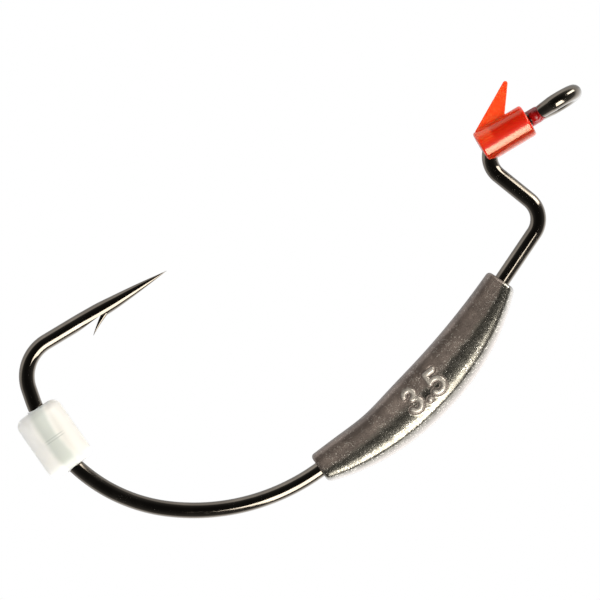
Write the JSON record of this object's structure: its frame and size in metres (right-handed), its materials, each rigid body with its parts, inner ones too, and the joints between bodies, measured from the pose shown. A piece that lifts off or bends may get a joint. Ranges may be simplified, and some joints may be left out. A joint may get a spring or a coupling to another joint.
{
  "type": "weighted swimbait hook",
  "caption": "Wide-gap swimbait hook with a cast keel weight on its shank, a barbed bait keeper behind the eye and a soft bead sliding on the bend.",
  "frame": {"origin": "centre of the hole in the ring eye, which a line or a snap holds", "axes": "+X the way the line pulls, along the neck; +Z the side that the point is on; the hook's plane is XZ, and the eye's hole runs along Z"},
  "size_m": [0.0658, 0.0052, 0.0283],
  "materials": {
    "black_nickel": "polished black nickel plate on steel wire",
    "cast_lead": "cast lead, satin",
    "orange_plastic": "glossy orange moulding",
    "clear_silicone": "translucent milky silicone",
    "red_varnish": "clear red varnish"
  },
  "bodies": {
    "hook_assembly": {"hook": "black_nickel", "belly_weight": "cast_lead", "keeper_sleeve": "orange_plastic", "eye_seal": "red_varnish"},
    "bead": {"stopper_bead": "clear_silicone"},
    "fin": {"keeper_fin": "orange_plastic"}
  },
  "joints": [
    {"name": "bead_slide", "type": "hinge", "parent": "hook_assembly", "child": "bead", "pos_m": [-0.04437, 0, -0.00184], "axis": [0, -1, 0], "range_deg": [-3.5, 36]},
    {"name": "fin_flex", "type": "hinge", "parent": "hook_assembly", "child": "fin", "pos_m": [-0.0066, 0, 0.00172], "axis": [1, 0, 0], "range_deg": [-30, 30], "stiffness_Nm_per_rad": 0.02}
  ]
}
